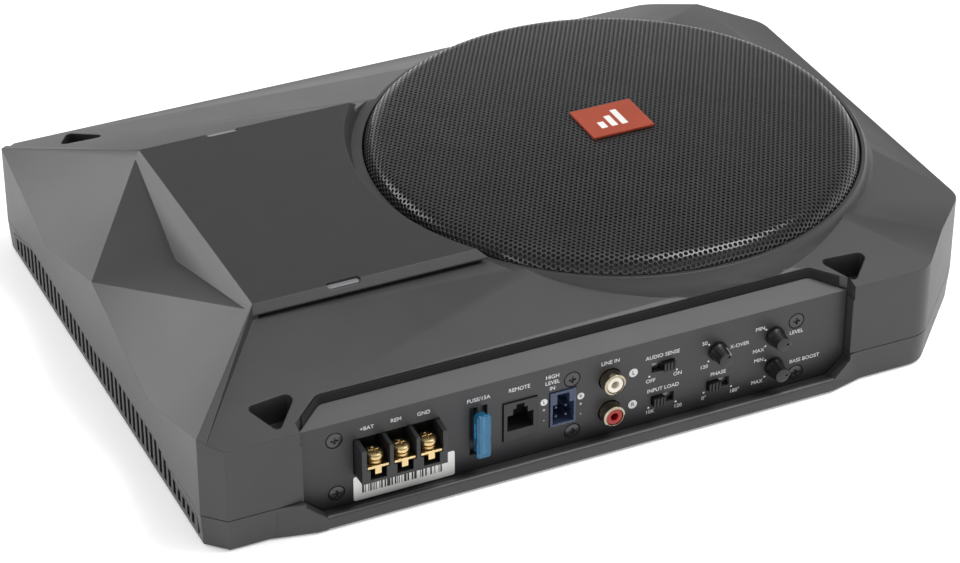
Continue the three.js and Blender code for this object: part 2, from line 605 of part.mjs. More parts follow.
// ---- Amplifier ----
piece("amp_board", prismZ([[-132, -104], [84, -104], [84, -55], [-25, -55], [-25, 82], [-162, 82],
  [-162, -72]], BOARD_LOW, BOARD_TOP), "#1f4d2e", { roughness: 0.5, metalness: 0 });
function heatSink() {
  const base = box(-142, -138, -80, 76, BOARD_TOP + GAP, 25);
  const fins = Array.from({ length: 12 }, (_, i) => {
    const y = -80 + i * 14;
    return box(-160, -141, y, y + 2, BOARD_TOP + GAP, 25);
  });
  return base.add(union(fins));
}
piece("heat_sink", heatSink(), "#9a9da1", steel);
piece("power_transformer", turnedZ(-88, 38, [[8, 9], [10, 7.6], [22, 7.6], [24, 10], [24, 25], [22, 28],
  [10, 28], [8, 26], [8, 9]], 32), "#b5722f", { roughness: 0.5, metalness: 0.2 });
piece("smoothing_capacitor", postZ(-66, -36, 9, BOARD_TOP + GAP, 42, 24), "#22262f",
  { roughness: 0.4, metalness: 0 });

// ---- Control panel ----
function controlPanel() {
  const roof = prismZ(ledgeCorners(SEAL_IN - GAP, PANEL_FRONT), LEDGE_UNDER, HIGH, 4)
    .intersect(aboveLedge(ROOF).subtract(aboveLedge(0)));
  let plate = prismY(panelCorners(0), PANEL_FRONT, PANEL_BACK).subtract(aboveLedge(0)).add(roof);
  const through = (x0, x1, z0, z1) => {
    plate = plate.subtract(box(x0 - GAP, x1 + GAP, -119, -113, z0 - GAP, z1 + GAP));
  };
  through(BLOCK.x0, BLOCK.x1, BLOCK.z0, BLOCK.z1);
  through(FUSE.x0 - 0.5, FUSE.x1 + 0.5, FUSE.z0 - 0.8, FUSE.z1 + 0.8);
  through(REMOTE.x0, REMOTE.x1, REMOTE.z0, REMOTE.z1);
  through(LINE.x0, LINE.x1, LINE.z0, LINE.z1);
  for (const [, x0, x1, z] of SWITCHES) {
    through(x0 + GAP, x1 - GAP, z - SLOT_HEIGHT / 2 + GAP, z + SLOT_HEIGHT / 2 - GAP);
  }
  for (const [, x, z] of INPUT_JACKS) plate = plate.subtract(postY(x, z, JACK_R + GAP, -119, -113));
  for (const [, x, z] of KNOBS) plate = plate.subtract(postY(x, z, BUSHING_R + GAP, -119, -113, 16));
  for (const [x, z] of PANEL_SCREWS) {
    plate = plate.subtract(turnedY(x, z, [[0, -119], [HEAD_R + 0.35, -119], [HEAD_R + 0.35, -116.7],
      [1.9, -115], [1.9, -113], [0, -113]], 16));
  }
  return plate;
}
piece("control_panel", controlPanel(), "#3c3c3f", plastic);

// A black strip standing between the panel's roof and the wall of the slope behind it.
function panelSeal() {
  const slope = (SLOPE_FOOT_Z - EDGE_Z) / (-SLOPE_FOOT_Y - FRONT);
  const endY = LEDGE_BACK_Y + 5;
  const startY = PANEL_BACK + GAP;
  const topAt = (y) => EDGE_Z + slope * (y - FRONT) - 0.4;
  const underSlope = prismX([[startY, LEDGE_UNDER], [endY, LEDGE_UNDER], [endY, topAt(endY)],
    [startY, topAt(startY)]], LEFT, RIGHT);
  return prismZ(ledgeCorners(SEAL_OUT, FRONT), LEDGE_UNDER, HIGH, 4)
    .subtract(prismZ(ledgeCorners(SEAL_IN, FRONT - 1), LEDGE_UNDER - 1, HIGH + 1, 4))
    .intersect(underSlope)
    .intersect(aboveLedge(ROOF));
}
piece("panel_seal", panelSeal(), "#0c0c0d", { roughness: 0.95, metalness: 0 });

// Two crossed slots, for a screwdriver, cut into a head that faces one way.
function crossSlots(across, half, deep, placed) {
  return placed(box(-across, across, -half, half, -deep, 1))
    .add(placed(box(-half, half, -across, across, -deep, 1)));
}

PANEL_SCREWS.forEach(([x, z], i) => {
  const shank = turnedY(x, z, [[0, -117.3], [2.4, -117.3], [HEAD_R, -116.95], [1.5, -115.3],
    [1.5, -108], [0, -108]], 16);
  const facing = (body) => body.rotate([90, 0, 0]).translate([x, -117.3, z]);
  piece(`panel_screw_${i + 1}`, shank.subtract(crossSlots(1.5, 0.42, 0.8, facing)), "#1a1a1b", steel);
});

piece("serial_label", prismY([[-112.4, 4.5, 0.8], [-70.6, 4.5, 0.8], [-70.6, 15.6, 0.8],
  [-112.4, 15.6, 0.8]], PANEL_FRONT - 0.3, PANEL_FRONT - 0.1), "#e9e9e7", { roughness: 0.7, metalness: 0 });

// ---- Power terminals ----
function terminalBlock() {
  const { x0, x1, front, z0, z1 } = BLOCK;
  const sides = prismX([[front, z0], [-108, z0], [-108, z1], [PANEL_FRONT, z1], [front, z1 - 0.6]], x0, x1);
  const cuts = TERMINALS.flatMap((x) => [
    box(x - CELL, x + CELL, front + 1.4, -111.5, z0 + 1.2, 60),
    box(x - CELL, x + CELL, front - 1, front + 2, PLATE_Z - 0.2, 60),
    box(x - 3.35, x + 3.35, front - 1, front + 2, z0 + 1.2, PLATE_Z),
  ]);
  return sides.subtract(union(cuts));
}
piece("terminal_block", terminalBlock(), "#1d1d1f", plastic);
TERMINALS.forEach((x, i) => {
  const plateFront = BLOCK.front + 0.3;
  const plate = box(x - CELL + 0.4, x + CELL - 0.4, plateFront, -114.5, PLATE_Z + 0.1, PLATE_Z + 1.1)
    .add(box(x - 1.3, x + 1.3, plateFront, plateFront + 0.9, PLATE_Z - 2.6, PLATE_Z + 0.2))
    .subtract(postZ(x, STUD_Y, 1.4, 0, 60, 16));
  piece(`terminal_clamp_${i + 1}`, plate, "#c9a45a", brass);
  const screw = turnedZ(x, STUD_Y, [[0, 19.8], [1.1, 19.8], [1.1, 24.2], [3.3, 24.2], [3.3, 25.2],
    [2.5, 25.4], [2.5, 25.8], [3.5, 26], [3.75, 26.4], [3.75, 27.3], [3.3, 28], [2.4, 28.3], [0, 28.4]], 24);
  const facing = (body) => body.translate([x, STUD_Y, 28.4]);
  piece(`terminal_screw_${i + 1}`, screw.subtract(crossSlots(2.1, 0.45, 1, facing)), "#c9a45a", brass);
});

// ---- Fuse ----
const FUSE_X = (FUSE.x0 + FUSE.x1) / 2;
const BLADES = [[13.6, 18.6], [25.4, 30.4]];
function bladeFuse() {
  const body = box(FUSE.x0, FUSE.x1, FUSE.front, FRAME_FRONT, FUSE.z0, FUSE.z1)
    .subtract(box(FUSE.x0 + 1.2, FUSE.x1 - 1.2, FUSE.front - 1, FUSE.front + 1.5, 17, 27));
  const blades = BLADES.map(([z0, z1]) => (
    box(FUSE_X - 0.4, FUSE_X + 0.4, FRAME_FRONT - 1, -106.5, z0, z1)));
  return body.add(union(blades));
}
piece("blade_fuse", bladeFuse(), "#2d78a8", { roughness: 0.2, metalness: 0 });
const holderSlots = BLADES.map(([z0, z1]) => (
  box(FUSE_X - 0.7, FUSE_X + 0.7, -116, -105.8, z0 - GAP, z1 + GAP)));
piece("fuse_holder", box(FUSE_X - 5, FUSE_X + 5, -114.4, -104.5, 10, 34).subtract(union(holderSlots)),
  "#17171a", plastic);

// ---- Remote and line sockets ----
const remoteBody = box(REMOTE.x0, REMOTE.x1, PANEL_FRONT - 0.8, -106, REMOTE.z0, REMOTE.z1)
  .subtract(box(-48.7, -37.7, -120, -108, 18, 25.2))
  .subtract(box(-46.3, -40.1, -120, -108, 25, 27.8))
  .subtract(box(-44.9, -41.5, -120, -108, 27, 29.6));
piece("remote_jack", remoteBody, "#141416", plastic);
const lineMiddle = (LINE.x0 + LINE.x1) / 2;
const pins = [-2.1, 2.1].flatMap((dx) => [17.4, 21.6].map((z) => (
  box(lineMiddle + dx - 0.5, lineMiddle + dx + 0.5, -115.5, -107, z - 0.5, z + 0.5))));
const lineBody = box(LINE.x0, LINE.x1, PANEL_FRONT - 0.6, -106, LINE.z0, LINE.z1)
  .subtract(box(LINE.x0 + 1, LINE.x1 - 1, -120, -108, LINE.z0 + 1, 24.4))
  .subtract(box(lineMiddle - 2.6, lineMiddle + 2.6, -120, -108, 24, 28.8));
piece("high_level_socket", lineBody.add(union(pins)), "#5b6780", { roughness: 0.3, metalness: 0 });

// ---- Line input jacks ----
for (const [side, x, z, color] of INPUT_JACKS) {
  piece(`line_jack_${side}`, turnedY(x, z, [[3.7, -122], [JACK_R, -121.6], [JACK_R, -109], [0, -109],
    [0, -110.5], [3.7, -110.5], [3.7, -122]]), "#c9b27a", brass);
  piece(`line_insulator_${side}`, turnedY(x, z, [[1.7, -121.6], [3.4, -121.6], [3.4, -110.8], [0, -110.8],
    [0, -113], [1.7, -113], [1.7, -121.6]]), color, plastic);
}

// ---- Slide switches ----
for (const [name, x0, x1, z, rest] of SWITCHES) {
  const middle = (x0 + x1) / 2;
  piece(`${name}_switch_body`, box(middle - 6.5, middle + 6.5, -114.4, -108.5, z - 3.5, z + 3.5),
    "#8d9095", steel);
  let slider = box(rest - 2.5, rest + 2.5, -119.2, -114.7, z - 1.8, z + 1.8);
  for (const dx of [-1.5, 0, 1.5]) {
    slider = slider.subtract(box(rest + dx - 0.3, rest + dx + 0.3, -120, -118.6, z - 3, z + 3));
  }
  piece(`${name}_slider`, slider, "#111112", plastic);
}

// ---- Rotary controls ----
for (const [name, x, z, turn] of KNOBS) {
  const bushing = turnedY(x, z, [[2.3, -116.8], [BUSHING_R, -116.8], [BUSHING_R, -113], [2.3, -113],
    [2.3, -116.8]], 16);
  const sensor = box(x - 4.8, x + 4.8, -114.4, -107, z - 5.2, z + 5.2)
    .subtract(postY(x, z, 2.3, -116, -108.5, 16));
  piece(`${name}_potentiometer`, sensor.add(bushing), "#6f7378", steel);
  const body = turnedY(x, z, [[0, -124.8], [2.9, -124.8], [3.2, -124.4], [3.5, -119.6], [4.1, -118.6],
    [4.1, -117.4], [2, -117.4], [2, -109], [0, -109]], 24);
  const groove = box(1.2, 4, -126, -124, -0.35, 0.35).add(box(2.9, 4, -126, -119.8, -0.35, 0.35))
    .rotate([0, -turn, 0]).translate([x, 0, z]);
  piece(`${name}_knob`, body.subtract(groove), "#131314", { roughness: 0.45, metalness: 0 });
}

export default group;
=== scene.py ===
"""Looks for a flat under-seat powered subwoofer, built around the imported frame. Metres, Z up."""
import json
import math

import bmesh
import bpy
from mathutils import Matrix, Vector


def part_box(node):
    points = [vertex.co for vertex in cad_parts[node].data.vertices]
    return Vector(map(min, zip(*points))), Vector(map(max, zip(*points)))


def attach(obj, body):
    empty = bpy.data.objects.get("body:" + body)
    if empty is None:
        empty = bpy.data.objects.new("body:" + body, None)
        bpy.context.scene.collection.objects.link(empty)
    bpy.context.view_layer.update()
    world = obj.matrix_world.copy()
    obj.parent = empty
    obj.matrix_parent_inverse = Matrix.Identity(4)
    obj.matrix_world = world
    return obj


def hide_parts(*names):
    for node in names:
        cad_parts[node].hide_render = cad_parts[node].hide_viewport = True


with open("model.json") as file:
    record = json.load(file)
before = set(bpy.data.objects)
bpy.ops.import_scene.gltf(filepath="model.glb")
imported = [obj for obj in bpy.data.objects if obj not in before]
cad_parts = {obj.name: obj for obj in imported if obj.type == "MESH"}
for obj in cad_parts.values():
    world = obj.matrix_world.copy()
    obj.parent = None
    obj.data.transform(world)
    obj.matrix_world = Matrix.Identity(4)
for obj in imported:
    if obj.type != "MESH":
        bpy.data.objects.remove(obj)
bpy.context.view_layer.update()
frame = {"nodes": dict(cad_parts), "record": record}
MM = 0.001
ROOT = "enclosure"

# ---- Camera: the photograph's viewing angle ----
CAMERA_AT = (-0.48341, -1.03429, 0.73932)
LOOK_AT = (-0.01314, -0.01580, 0.01720)
LENS_MM = 122.06
SENSOR_MM = 36.0

# ---- Places on the object, in millimetres ----
GRILLE_X = 54.0
PANEL_Y = -117.0
PLATEAU_TOP = 66.3
BADGE_TOP = 70.0
BARCODE_LEFT = -109.0
BARCODE_RIGHT = -75.5
BARCODE_LOW = 7.5


def add_camera():
    data = bpy.data.cameras.new("camera")
    data.lens = LENS_MM
    data.sensor_width = SENSOR_MM
    data.clip_end = 20
    camera = bpy.data.objects.new("camera", data)
    bpy.context.scene.collection.objects.link(camera)
    camera.location = CAMERA_AT
    camera.rotation_euler = (Vector(LOOK_AT) - Vector(CAMERA_AT)).to_track_quat("-Z", "Y").to_euler()
    bpy.context.scene.camera = camera


add_camera()
bpy.context.scene.view_settings.view_transform = "Standard"


# ---- Materials ----
PATCH_SCALE = 60.0
PATCH_DETAIL = 4.0
GRAIN_DETAIL = 3.0
NOISE_LOW = 0.3
NOISE_HIGH = 0.7
ROUGHNESS_SWING = 0.015
BARCODE_STEP = 0.35


def nodes_of(name):
    made = bpy.data.materials.new(name)
    made.use_nodes = True
    return made, made.node_tree, made.node_tree.nodes["Principled BSDF"]


def link(tree, source, target):
    tree.links.new(source, target)


def noise(tree, scale, detail):
    """Noise in object space, so its grain keeps one size in metres."""
    place = tree.nodes.new("ShaderNodeTexCoord")
    node = tree.nodes.new("ShaderNodeTexNoise")
    node.inputs["Scale"].default_value = scale
    node.inputs["Detail"].default_value = detail
    link(tree, place.outputs["Object"], node.inputs["Vector"])
    return node.outputs["Fac"]


def between(tree, value, low_color, high_color):
    """Runs from one colour to another over the noise's usual range."""
    node = tree.nodes.new("ShaderNodeValToRGB")
    stops = ((NOISE_LOW, low_color), (NOISE_HIGH, high_color))
    for element, (position, color) in zip(node.color_ramp.elements, stops):
        element.position = position
        element.color = (*color, 1)
    link(tree, value, node.inputs["Fac"])
    return node.outputs["Color"]


def spread(tree, value, low, high):
    """Runs from one number to another over the noise's usual range."""
    node = tree.nodes.new("ShaderNodeMapRange")
    node.inputs["From Min"].default_value = NOISE_LOW
    node.inputs["From Max"].default_value = NOISE_HIGH
    node.inputs["To Min"].default_value = low
    node.inputs["To Max"].default_value = high
    link(tree, value, node.inputs["Value"])
    return node.outputs["Result"]


def shade(color, factor):
    return tuple(channel * factor for channel in color)


def surface(name, color, rough, metal=0.0, grain=900.0, bump=0.15, depth=0.00005, edge=0.0003,
            mottled=0.08):
    """A moulded or plated surface: fine grain in its bump, slight mottling, softened edges."""
    made, tree, shader = nodes_of(name)
    shader.inputs["Metallic"].default_value = metal
    patches = noise(tree, PATCH_SCALE, PATCH_DETAIL)
    mottling = between(tree, patches, shade(color, 1 - mottled), shade(color, 1 + mottled))
    link(tree, mottling, shader.inputs["Base Color"])
    roughness = spread(tree, patches, rough - ROUGHNESS_SWING, rough + ROUGHNESS_SWING)
    link(tree, roughness, shader.inputs["Roughness"])
    bumps = tree.nodes.new("ShaderNodeBump")
    bumps.inputs["Strength"].default_value = bump
    bumps.inputs["Distance"].default_value = depth
    link(tree, noise(tree, grain, GRAIN_DETAIL), bumps.inputs["Height"])
    if edge > 0:
        rounded = tree.nodes.new("ShaderNodeBevel")
        rounded.samples = 4
        rounded.inputs["Radius"].default_value = edge
        link(tree, rounded.outputs["Normal"], bumps.inputs["Normal"])
    link(tree, bumps.outputs["Normal"], shader.inputs["Normal"])
    return made


def shell_material():
    """Textured charcoal plastic; the plateau's top is painted darker than the rest, as painted shade."""
    made = surface("shell_plastic", (0.026, 0.026, 0.0275), 0.43, grain=1500.0, bump=0.35,
                   depth=0.00006, edge=0.0006)
    tree = made.node_tree
    shader = tree.nodes["Principled BSDF"]
    base = shader.inputs["Base Color"].links[0].from_socket
    place = tree.nodes.new("ShaderNodeTexCoord")
    split = tree.nodes.new("ShaderNodeSeparateXYZ")
    link(tree, place.outputs["Object"], split.inputs["Vector"])
    # Painted shade: the plateau's flat top gets a darker colour than the sloped shell, standing in for the
    # light it does not catch.
    above = tree.nodes.new("ShaderNodeMath")
    above.operation = "GREATER_THAN"
    above.inputs[1].default_value = (PLATEAU_TOP - 0.1) * MM
    link(tree, split.outputs["Z"], above.inputs[0])
    mix = tree.nodes.new("ShaderNodeMix")
    mix.data_type = "RGBA"
    link(tree, above.outputs["Value"], mix.inputs["Factor"])
    link(tree, base, mix.inputs["A"])
    plateau_painted_shade = between(tree, noise(tree, 90.0, PATCH_DETAIL), (0.01, 0.01, 0.011), (0.012, 0.012, 0.013))
    link(tree, plateau_painted_shade, mix.inputs["B"])
    link(tree, mix.outputs["Result"], shader.inputs["Base Color"])
    return made


def glassy(name, color, rough, share, grain=300.0, bump=0.05):
    """Tinted translucent plastic."""
    made = surface(name, color, rough, grain=grain, bump=bump)
    shader = made.node_tree.nodes["Principled BSDF"]
    shader.inputs["Transmission Weight"].default_value = share
    shader.inputs["IOR"].default_value = 1.5
    return made


def barcode_material():
    """White paper with a run of plain dark bars of uneven width along its top half."""
    made = surface("label_paper", (0.8, 0.8, 0.78), 0.6, grain=2500.0, edge=0.0)
    tree = made.node_tree
    shader = tree.nodes["Principled BSDF"]
    base = shader.inputs["Base Color"].links[0].from_socket
    place = tree.nodes.new("ShaderNodeTexCoord")
    split = tree.nodes.new("ShaderNodeSeparateXYZ")
    link(tree, place.outputs["Object"], split.inputs["Vector"])

    def compute(operation, first, second):
        node = tree.nodes.new("ShaderNodeMath")
        node.operation = operation
        link(tree, first, node.inputs[0])
        if isinstance(second, float):
            node.inputs[1].default_value = second
        else:
            link(tree, second, node.inputs[1])
        return node.outputs["Value"]

    columns = compute("SNAP", split.outputs["X"], BARCODE_STEP * MM)
    chance = tree.nodes.new("ShaderNodeTexWhiteNoise")
    chance.noise_dimensions = "1D"
    link(tree, columns, chance.inputs["W"])
    bars = compute("GREATER_THAN", chance.outputs["Value"], 0.5)
    inside = compute("MULTIPLY", compute("GREATER_THAN", split.outputs["X"], BARCODE_LEFT * MM),
                     compute("LESS_THAN", split.outputs["X"], BARCODE_RIGHT * MM))
    rows = compute("GREATER_THAN", split.outputs["Z"], BARCODE_LOW * MM)
    inked = compute("MULTIPLY", compute("MULTIPLY", bars, inside), rows)
    mix = tree.nodes.new("ShaderNodeMix")
    mix.data_type = "RGBA"
    link(tree, inked, mix.inputs["Factor"])
    link(tree, base, mix.inputs["A"])
    mix.inputs["B"].default_value = (0.03, 0.03, 0.03, 1)
    link(tree, mix.outputs["Result"], shader.inputs["Base Color"])
    return made


MATERIALS = {
    "shell_plastic": shell_material(),
    "panel_plastic": surface("panel_plastic", (0.024, 0.024, 0.026), 0.46, grain=1800.0, bump=0.2),
    # seal_foam colours the near-black strip behind the panel's ledge. The strip stands where the shell
    # shows only shade under the overhang, so its black is painted shade.
    "seal_foam": surface("seal_foam", (0.006, 0.006, 0.006), 0.95, grain=1200.0, bump=0.4),
    "vent_plastic": surface("vent_plastic", (0.012, 0.012, 0.013), 0.45),
    "window_plastic": surface("window_plastic", (0.2, 0.2, 0.21), 0.25, bump=0.02, edge=0.0004),
    "foot_rubber": surface("foot_rubber", (0.015, 0.015, 0.015), 0.85, grain=2500.0, bump=0.4),
    "grille_steel": surface("grille_steel", (0.05, 0.05, 0.052), 0.2, metal=0.6, grain=2500.0, edge=0.0,
                            bump=0.1),
    "badge": surface("badge", (0.36, 0.05, 0.018), 0.34, metal=0.3, grain=1200.0, bump=0.05),
    "badge_mark": surface("badge_mark", (0.85, 0.83, 0.8), 0.3, metal=0.3, grain=1200.0, bump=0.05),
    "basket_steel": surface("basket_steel", (0.02, 0.02, 0.021), 0.5),
    "motor_steel": surface("motor_steel", (0.42, 0.43, 0.45), 0.3, metal=1.0, grain=400.0),
    "ferrite": surface("ferrite", (0.03, 0.03, 0.032), 0.75, grain=700.0, bump=0.3),
    "copper": surface("copper", (0.45, 0.16, 0.06), 0.3, metal=0.9, grain=3000.0, bump=0.5),
    "cone": surface("cone", (0.012, 0.012, 0.013), 0.75, grain=500.0, bump=0.5),
    "surround_rubber": surface("surround_rubber", (0.009, 0.009, 0.009), 0.6),
    "spider_cloth": surface("spider_cloth", (0.35, 0.24, 0.08), 0.85, grain=1800.0, bump=0.6),
    "circuit_board": surface("circuit_board", (0.012, 0.07, 0.025), 0.35, grain=250.0, bump=0.1),
    "heat_sink_aluminium": surface("heat_sink_aluminium", (0.5, 0.51, 0.53), 0.35, metal=1.0),
    "capacitor_sleeve": surface("capacitor_sleeve", (0.012, 0.015, 0.03), 0.3),
    "black_plastic": surface("black_plastic", (0.012, 0.012, 0.013), 0.4),
    "socket_plastic": glassy("socket_plastic", (0.045, 0.065, 0.13), 0.12, 0.3),
    "fuse_plastic": glassy("fuse_plastic", (0.05, 0.38, 0.66), 0.06, 0.8, grain=700.0, bump=1.0),
    "fuse_metal": surface("fuse_metal", (0.55, 0.6, 0.62), 0.25, metal=1.0, grain=500.0),
    "label": barcode_material(),
    "white_insulator": surface("white_insulator", (0.75, 0.7, 0.6), 0.35, bump=0.05),
    "red_insulator": surface("red_insulator", (0.3, 0.008, 0.006), 0.3, bump=0.05),
    "jack_metal": surface("jack_metal", (0.4, 0.35, 0.26), 0.08, metal=1.0, bump=0.03),
    "terminal_brass": surface("terminal_brass", (0.66, 0.5, 0.26), 0.24, metal=1.0, bump=0.08),
    "screw_steel": surface("screw_steel", (0.07, 0.07, 0.072), 0.32, metal=0.8),
    "switch_metal": surface("switch_metal", (0.35, 0.36, 0.37), 0.3, metal=1.0),
    "control_plastic": surface("control_plastic", (0.004, 0.004, 0.004), 0.3, grain=1500.0),
    "legend_ink": surface("legend_ink", (0.62, 0.62, 0.63), 0.6, edge=0.0),
    "legend_dark": surface("legend_dark", (0.03, 0.03, 0.032), 0.5, edge=0.0),
}
SLOT_OF = {part["node"]: part["material_slot"] for part in frame["record"]["subparts"]}


# ---- Helpers for shapes ----

def smooth_by_angle(limit):
    """A modifier tree that shades faces smooth except across edges sharper than the limit."""
    group = bpy.data.node_groups.new("smooth_by_angle", "GeometryNodeTree")
    group.interface.new_socket("Geometry", in_out="INPUT", socket_type="NodeSocketGeometry")
    group.interface.new_socket("Geometry", in_out="OUTPUT", socket_type="NodeSocketGeometry")
    start = group.nodes.new("NodeGroupInput")
    end = group.nodes.new("NodeGroupOutput")
    faces = group.nodes.new("GeometryNodeSetShadeSmooth")
    faces.domain = "FACE"
    edges = group.nodes.new("GeometryNodeSetShadeSmooth")
    edges.domain = "EDGE"
    edges.inputs["Shade Smooth"].default_value = False
    angle = group.nodes.new("GeometryNodeInputMeshEdgeAngle")
    sharp = group.nodes.new("FunctionNodeCompare")
    sharp.operation = "GREATER_THAN"
    sharp.inputs["B"].default_value = limit
    group.links.new(angle.outputs["Unsigned Angle"], sharp.inputs["A"])
    group.links.new(start.outputs["Geometry"], faces.inputs["Geometry"])
    group.links.new(faces.outputs["Geometry"], edges.inputs["Geometry"])
    group.links.new(sharp.outputs["Result"], edges.inputs["Selection"])
    group.links.new(edges.outputs["Geometry"], end.inputs["Geometry"])
    return group


SMOOTH_BELOW_DEGREES = 32
SMOOTH = smooth_by_angle(math.radians(SMOOTH_BELOW_DEGREES))
WELD_DISTANCE = 0.00001


def smooth(piece):
    weld = piece.modifiers.new("weld", "WELD")
    weld.merge_threshold = WELD_DISTANCE
    shading = piece.modifiers.new("smooth", "NODES")
    shading.node_group = SMOOTH


def add_piece(name, mesh, slot, body=ROOT, replaces=()):
    """An object from a mesh in metres, with its finish, riding on a body."""
    piece = bpy.data.objects.new(name, mesh)
    bpy.context.scene.collection.objects.link(piece)
    mesh.materials.append(MATERIALS[slot])
    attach(piece, body)
    if replaces:
        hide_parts(*replaces)
    return piece


def mesh_from(name, points, faces):
    mesh = bpy.data.meshes.new(name)
    mesh.from_pydata(points, [], faces)
    mesh.update()
    return mesh


def turned(name, profile, segments, place):
    """A closed turned mesh from [radius, height] millimetre points, set by a matrix in metres."""
    build = bmesh.new()
    rings = []
    for radius, height in profile:
        if radius == 0:
            rings.append([build.verts.new((0, 0, height * MM))])
            continue
        turns = [2 * math.pi * i / segments for i in range(segments)]
        around = [(math.cos(turn), math.sin(turn)) for turn in turns]
        rings.append([build.verts.new((radius * MM * c, radius * MM * s, height * MM)) for c, s in around])
    for low, high in zip(rings, rings[1:]):
        for i in range(segments):
            low_pair = [low[i % len(low)], low[(i + 1) % len(low)]]
            high_pair = [high[(i + 1) % len(high)], high[i % len(high)]]
            unique = list(dict.fromkeys(low_pair + high_pair))
            if len(unique) > 2:
                build.faces.new(unique)
    bmesh.ops.recalc_face_normals(build, faces=build.faces)
    build.transform(place)
    mesh = bpy.data.meshes.new(name)
    build.to_mesh(mesh)
    build.free()
    return mesh


def on_panel(x, z, y=PANEL_Y):
    """Stands a shape made along +Z out of the panel, toward -Y."""
    return Matrix.Translation((x * MM, y * MM, z * MM)) @ Matrix.Rotation(math.pi / 2, 4, "X")


# ---- CAD nodes that stay, with their finishes ----
for node_name, node in frame["nodes"].items():
    node.data.materials.clear()
    node.data.materials.append(MATERIALS[SLOT_OF[node_name]])
    smooth(node)


# ---- Perforated grille ----
HOLE_PITCH = 2.2
HOLE_R = 0.87
HOLE_SIDES = 12
SHEET = 0.8
DOME_TOP = 68.7
DOME_FLAT_R = 95.0
DOME_FALL = 3.8
RIM_R = 102.7
RIM_LOW = 49.0
RIM_STEPS = 16


def grille_profile():
    """Radius and height of the grille's outside at equal steps along it, from the middle out."""
    sphere = (DOME_FLAT_R ** 2 + DOME_FALL ** 2) / (2 * DOME_FALL)
    radii = range(int(DOME_FLAT_R) + 1)
    points = [(r, DOME_TOP - sphere + math.sqrt(sphere ** 2 - r ** 2)) for r in radii]
    tilt = math.asin(DOME_FLAT_R / sphere)
    start_r, start_z = points[-1]
    bend = (RIM_R - start_r) / (1 - math.sin(tilt))
    for i in range(1, RIM_STEPS + 1):
        turn = tilt + (math.pi / 2 - tilt) * i / RIM_STEPS
        points.append((start_r + bend * (math.sin(turn) - math.sin(tilt)),
                       start_z - bend * (math.cos(tilt) - math.cos(turn))))
    while points[-1][1] > RIM_LOW:
        points.append((RIM_R, points[-1][1] - 1))
    return points


def along(profile):
    """Running length at each point of the profile."""
    lengths = [0.0]
    for (r0, z0), (r1, z1) in zip(profile, profile[1:]):
        lengths.append(lengths[-1] + math.hypot(r1 - r0, z1 - z0))
    return lengths


def perforated_grille():
    profile = grille_profile()
    lengths = along(profile)

    def placed(u, v, inward):
        """A point of the flat sheet, moved to where the pressed dome carries it."""
        s = min(math.hypot(u, v), lengths[-1] - 0.001)
        turn = math.atan2(v, u)
        i = next(k for k in range(1, len(lengths)) if lengths[k] > s) if s > 0 else 1
        share = (s - lengths[i - 1]) / (lengths[i] - lengths[i - 1])
        (r0, z0), (r1, z1) = profile[i - 1], profile[i]
        length = math.hypot(r1 - r0, z1 - z0)
        r = r0 + (r1 - r0) * share + inward * (z1 - z0) / length
        z = z0 + (z1 - z0) * share - inward * (r1 - r0) / length
        return ((GRILLE_X + r * math.cos(turn)) * MM, r * math.sin(turn) * MM, z * MM)

    points, faces, shared = [], [], {}

    def corner(u, v):
        key = (round(u * 50), round(v * 50))
        if key not in shared:
            shared[key] = len(points)
            points.append(placed(u, v, 0))
        return shared[key]

    edge = lengths[-1] - HOLE_PITCH * 0.6
    column = HOLE_PITCH * math.sqrt(3) / 2
    cell_r = HOLE_PITCH / math.sqrt(3)
    across = int(edge / column) + 1
    per_side = HOLE_SIDES // 6
    for a in range(-across, across + 1):
        for b in range(-across, across + 1):
            u = (b + (a % 2) / 2) * HOLE_PITCH
            v = a * column
            if math.hypot(u, v) > edge:
                continue
            turns = [math.pi / 6 + k * math.pi / 3 for k in range(6)]
            rim = [corner(u + cell_r * math.cos(turn), v + cell_r * math.sin(turn)) for turn in turns]
            first = len(points)
            for inward in (0, SHEET):
                for k in range(HOLE_SIDES):
                    turn = math.pi / 6 + 2 * math.pi * k / HOLE_SIDES
                    points.append(placed(u + HOLE_R * math.cos(turn), v + HOLE_R * math.sin(turn), inward))
            for k in range(6):
                hole = [first + (k * per_side + j) % HOLE_SIDES for j in range(per_side, -1, -1)]
                faces.append([rim[k], rim[(k + 1) % 6], *hole])
            for k in range(HOLE_SIDES):
                outer = [first + k, first + (k + 1) % HOLE_SIDES]
                faces.append([*outer, outer[1] + HOLE_SIDES, outer[0] + HOLE_SIDES])
    mesh = mesh_from("perforated_grille", points, faces)
    for polygon in mesh.polygons:
        polygon.use_smooth = len(polygon.vertices) == 4
    return mesh


add_piece("perforated_grille", perforated_grille(), "grille_steel", replaces=["speaker_grille"])


# ---- Badge: three rising bars on the plain plate ----
BAR_HEIGHTS = (5.0, 8.5, 12.0)
BAR_WIDE = 2.8
BAR_THICK = 0.3
BAR_PITCH = 4.6
FIRST_BAR_X = GRILLE_X - 6
BARS_LOW_Y = -6.0
BAR_MIDDLE_Z = BADGE_TOP - 0.05


def bars_mark():
    build = bmesh.new()
    for i, height in enumerate(BAR_HEIGHTS):
        middle = ((FIRST_BAR_X + i * BAR_PITCH) * MM, (BARS_LOW_Y + height / 2) * MM, BAR_MIDDLE_Z * MM)
        made = bmesh.ops.create_cube(build, size=1.0)
        bmesh.ops.scale(build, vec=(BAR_WIDE * MM, height * MM, BAR_THICK * MM), verts=made["verts"])
        bmesh.ops.translate(build, vec=middle, verts=made["verts"])
    bmesh.ops.bevel(build, geom=build.edges[:], offset=0.08 * MM, segments=2, affect="EDGES")
    mesh = bpy.data.meshes.new("badge_bars")
    build.to_mesh(mesh)
    build.free()
    return mesh


add_piece("badge_bars", bars_mark(), "badge_mark")


